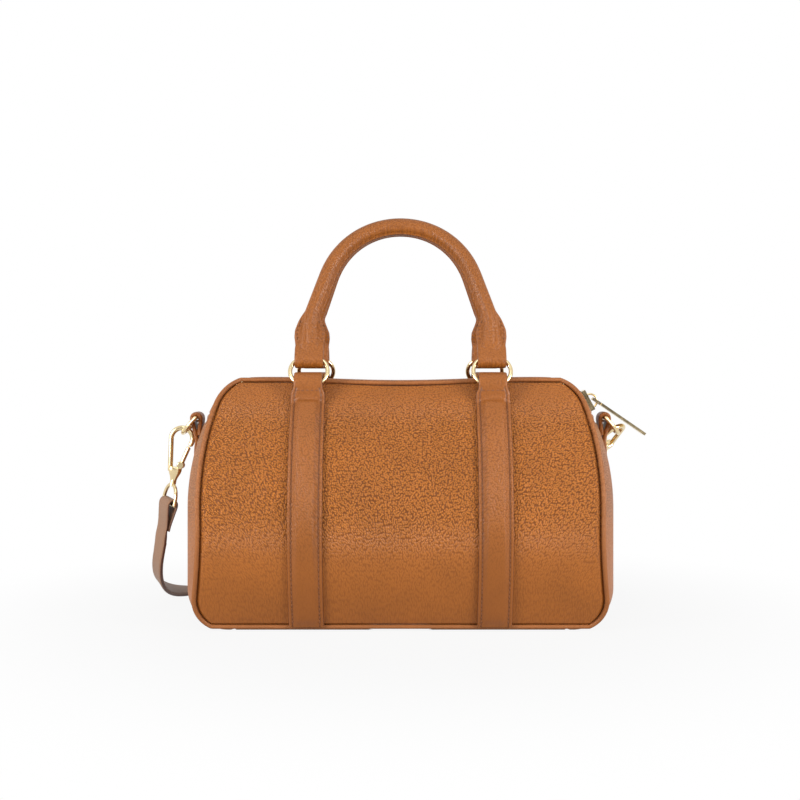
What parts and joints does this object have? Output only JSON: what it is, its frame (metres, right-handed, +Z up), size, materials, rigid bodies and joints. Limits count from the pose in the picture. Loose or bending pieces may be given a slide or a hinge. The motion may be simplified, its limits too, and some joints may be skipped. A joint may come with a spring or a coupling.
{
  "type": "mini barrel bag",
  "caption": "Small tan leather barrel bag with bulged ends, rolled top handles on oval rings, a zipped top, piped seams and a detachable strap on snap hooks.",
  "frame": {"origin": "middle of the flat base, on the floor", "axes": "+X along the bag to the right as seen from the front, +Y to the rear, +Z up"},
  "size_m": [0.3001, 0.1495, 0.2341],
  "materials": {
    "body_leather": "pebbled grain, satin",
    "trim_leather": "pebbled grain, satin, padded and stitched",
    "piping_leather": "smooth, satin",
    "strap_leather": "pebbled grain, satin",
    "gold_metal": "polished pale gold plating",
    "zip_tape": "woven, matt",
    "lining_cloth": "woven, matt",
    "board": "matt",
    "core_cord": "twisted cord"
  },
  "bodies": {
    "bag": {"front_panel": "body_leather", "rear_panel": "body_leather", "front_piping": "piping_leather", "rear_piping": "piping_leather", "base_panel": "body_leather", "left_end_panel": "body_leather", "right_end_panel": "body_leather", "left_corner_facing": "body_leather", "right_corner_facing": "body_leather", "left_corner_tape": "zip_tape", "right_corner_tape": "zip_tape", "left_corner_teeth": "gold_metal", "right_corner_teeth": "gold_metal", "zip_end_stops": "gold_metal", "lining": "lining_cloth", "base_board": "board", "front_left_band": "trim_leather", "front_right_band": "trim_leather", "rear_left_band": "trim_leather", "rear_right_band": "trim_leather", "left_ring_tab": "trim_leather", "right_ring_tab": "trim_leather", "strap_left_drop": "strap_leather", "strap_right_drop": "strap_leather", "strap_hank": "strap_leather"},
    "zip_flap_front": {"zip_facing_front": "body_leather", "zip_tape_front": "zip_tape", "zip_teeth_front": "gold_metal"},
    "zip_flap_rear": {"zip_facing_rear": "body_leather", "zip_tape_rear": "zip_tape", "zip_teeth_rear": "gold_metal"},
    "zip_slider": {"zip_slider": "gold_metal"},
    "zip_pull": {"zip_pull": "gold_metal"},
    "front_rings": {"front_left_ring": "gold_metal", "front_right_ring": "gold_metal"},
    "rear_rings": {"rear_left_ring": "gold_metal", "rear_right_ring": "gold_metal"},
    "front_handle": {"front_handle_cover": "trim_leather", "front_handle_core": "core_cord"},
    "rear_handle": {"rear_handle_cover": "trim_leather", "rear_handle_core": "core_cord"},
    "left_d_ring": {"left_d_ring": "gold_metal"},
    "left_hook": {"left_hook": "gold_metal", "left_gate_pin": "gold_metal"},
    "left_gate": {"left_gate": "gold_metal"},
    "left_swivel": {"left_swivel": "gold_metal", "strap_left_end": "strap_leather"},
    "right_d_ring": {"right_d_ring": "gold_metal"},
    "right_hook": {"right_hook": "gold_metal", "right_gate_pin": "gold_metal"},
    "right_gate": {"right_gate": "gold_metal"},
    "right_swivel": {"right_swivel": "gold_metal", "strap_right_end": "strap_leather"}
  },
  "joints": [
    {"name": "front_ring_swing", "type": "hinge", "parent": "bag", "child": "front_rings", "pos_m": [0, -0.0343, 0.1391], "axis": [1, 0, 0], "range_deg": [0, 75]},
    {"name": "front_handle_swing", "type": "hinge", "parent": "front_rings", "child": "front_handle", "pos_m": [0, -0.0284, 0.1518], "axis": [1, 0, 0], "range_deg": [0, 60]},
    {"name": "front_flap_open", "type": "hinge", "parent": "bag", "child": "zip_flap_front", "pos_m": [0, -0.0183, 0.142], "axis": [1, 0, 0], "range_deg": [0, 60]},
    {"name": "rear_ring_swing", "type": "hinge", "parent": "bag", "child": "rear_rings", "pos_m": [0, 0.0343, 0.1391], "axis": [-1, 0, 0], "range_deg": [0, 75]},
    {"name": "rear_handle_swing", "type": "hinge", "parent": "rear_rings", "child": "rear_handle", "pos_m": [0, 0.0284, 0.1518], "axis": [-1, 0, 0], "range_deg": [0, 60]},
    {"name": "rear_flap_open", "type": "hinge", "parent": "bag", "child": "zip_flap_rear", "pos_m": [0, 0.0183, 0.142], "axis": [-1, 0, 0], "range_deg": [0, 60]},
    {"name": "zip_slider_travel", "type": "hinge", "parent": "bag", "child": "zip_slider", "pos_m": [0.0856, 0, 0.114], "axis": [0, -1, 0], "range_deg": [0, 46]},
    {"name": "zip_pull_swing", "type": "hinge", "parent": "zip_slider", "child": "zip_pull", "pos_m": [0.1156, 0, 0.1287], "axis": [0, -1, 0], "range_deg": [0, 110]},
    {"name": "left_d_ring_swing", "type": "hinge", "parent": "bag", "child": "left_d_ring", "pos_m": [-0.1216, 0, 0.1176], "axis": [0, 1, 0], "range_deg": [0, 20], "deforming": ["strap_left_drop"]},
    {"name": "left_hook_swing", "type": "hinge", "parent": "left_d_ring", "child": "left_hook", "pos_m": [-0.1302, 0, 0.1085], "axis": [0, 1, 0], "range_deg": [-23, 0], "deforming": ["strap_left_drop"]},
    {"name": "left_gate_open", "type": "hinge", "parent": "left_hook", "child": "left_gate", "pos_m": [-0.1316, 0, 0.0892], "axis": [0, -1, 0], "range_deg": [0, 25], "stiffness_Nm_per_rad": 0.02, "springref_deg": -17.19},
    {"name": "left_swivel_turn", "type": "hinge", "parent": "left_hook", "child": "left_swivel", "pos_m": [-0.1359, 0, 0.0807], "axis": [0.2028, 0, 0.9792], "range_deg": [-15, 15], "deforming": ["strap_left_drop"]},
    {"name": "right_d_ring_swing", "type": "hinge", "parent": "bag", "child": "right_d_ring", "pos_m": [0.1216, 0, 0.1176], "axis": [0, -1, 0], "range_deg": [0, 4.5], "deforming": ["strap_right_drop"]},
    {"name": "right_hook_swing", "type": "hinge", "parent": "right_d_ring", "child": "right_hook", "pos_m": [0.129, 0.0052, 0.1097], "axis": [0, -1, 0], "range_deg": [-6, 0], "deforming": ["strap_right_drop"]},
    {"name": "right_gate_open", "type": "hinge", "parent": "right_hook", "child": "right_gate", "pos_m": [0.1256, 0.0202, 0.1006], "axis": [-0.4345, 0.3942, 0.8098], "range_deg": [0, 25], "stiffness_Nm_per_rad": 0.02, "springref_deg": -17.19},
    {"name": "right_swivel_turn", "type": "hinge", "parent": "right_hook", "child": "right_swivel", "pos_m": [0.1273, 0.029, 0.0972], "axis": [0.0653, -0.8829, 0.4649], "range_deg": [-15, 15], "deforming": ["strap_right_drop"]}
  ],
  "couplings": [
    {"joint": "left_hook_swing", "follows": "left_d_ring_swing", "ratio": -1.15},
    {"joint": "right_hook_swing", "follows": "right_d_ring_swing", "ratio": -1.27}
  ]
}
